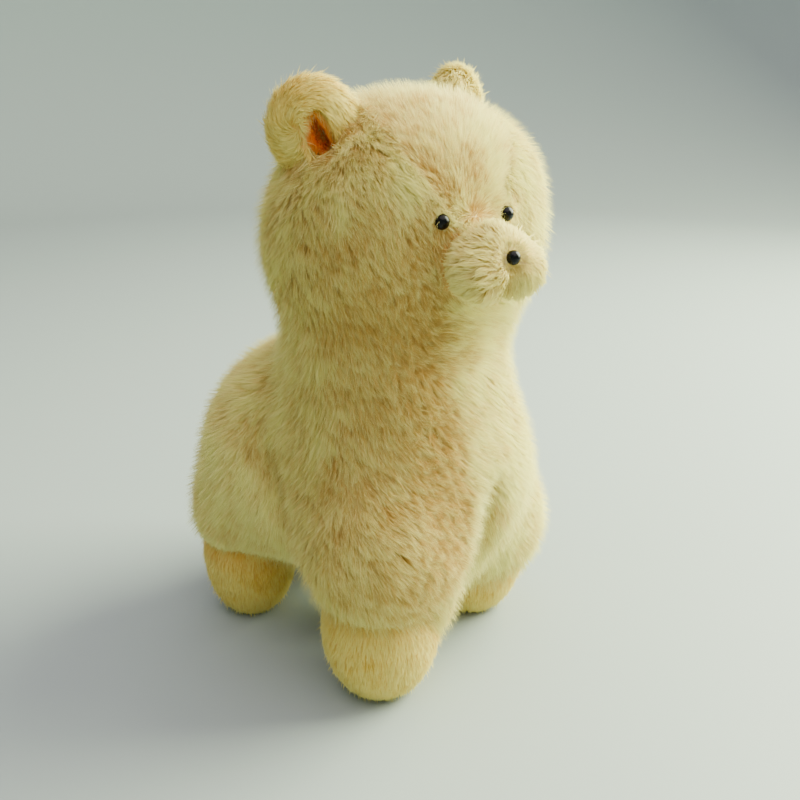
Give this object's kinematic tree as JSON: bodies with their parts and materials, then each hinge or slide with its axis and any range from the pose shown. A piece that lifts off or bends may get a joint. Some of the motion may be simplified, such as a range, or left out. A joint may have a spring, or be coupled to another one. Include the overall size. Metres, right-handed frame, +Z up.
{
  "type": "plush toy alpaca",
  "caption": "Stuffed toy alpaca standing on stout legs with its head turned a little to its right, long cream plush, short-plush ears, muzzle and feet, bead eyes and nose.",
  "frame": {"origin": "on the floor, under the middle of the whole toy's box", "axes": "+Z up, the toy's trunk faces -Y and its right side is at -X; the head is turned 20 degrees to its right"},
  "size_m": [0.144, 0.1772, 0.251],
  "materials": {
    "long_plush": "long pile",
    "short_plush": "short pile",
    "bead": "polished"
  },
  "bodies": {
    "root": {"head": "long_plush", "neck": "long_plush", "trunk": "long_plush", "tail": "long_plush", "leg_front_right": "long_plush", "leg_front_left": "long_plush", "leg_rear_right": "long_plush", "leg_rear_left": "long_plush", "foot_front_right": "short_plush", "foot_front_left": "short_plush", "foot_rear_right": "short_plush", "foot_rear_left": "short_plush", "ear_right": "short_plush", "ear_left": "short_plush", "muzzle": "short_plush", "eye_right": "bead", "eye_left": "bead", "nose": "bead"}
  },
  "joints": []
}
